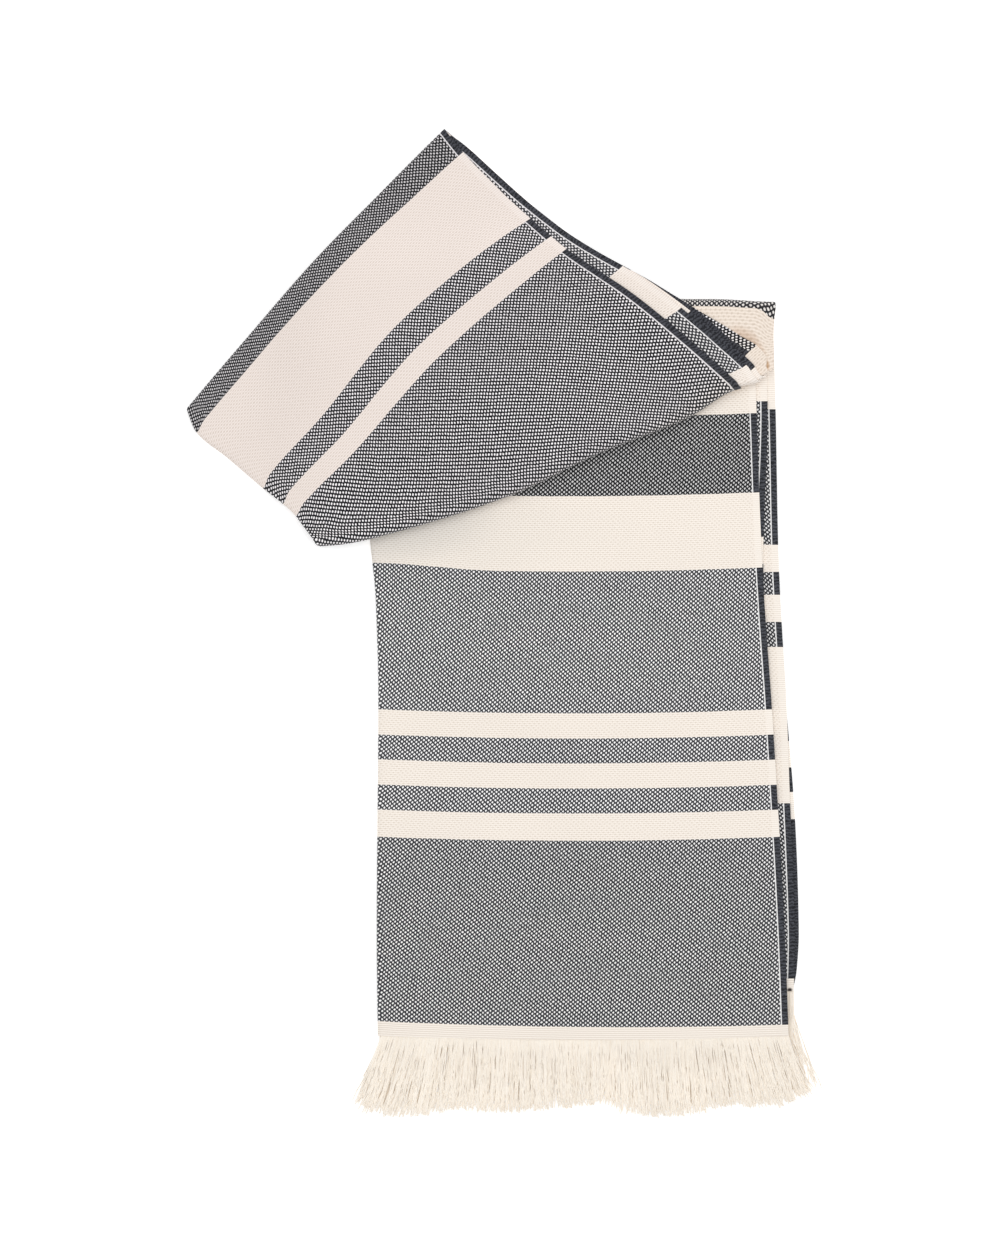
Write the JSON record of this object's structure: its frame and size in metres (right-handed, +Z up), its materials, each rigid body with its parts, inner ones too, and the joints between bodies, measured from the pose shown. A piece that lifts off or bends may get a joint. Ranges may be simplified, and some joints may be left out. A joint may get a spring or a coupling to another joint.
{
  "type": "folded hammam towel",
  "caption": "Striped woven cotton bath cloth with fringed ends, folded lengthwise into a strip and laid flat with its end turned out at a slant.",
  "frame": {"origin": "on the floor, under the middle of the folded towel's bounding box", "axes": "+X from the lengthwise fold to the selvedges, +Y from the fringe to the far fold, +Z up"},
  "size_m": [0.5368, 0.8478, 0.0203],
  "materials": {
    "woven_cloth": "matt charcoal and cream cotton weave",
    "fringe_yarn": "matt cream cotton yarn"
  },
  "bodies": {
    "root": {"towel": "woven_cloth", "fringe_outer_end": "fringe_yarn", "fringe_inner_end": "fringe_yarn"}
  },
  "joints": []
}
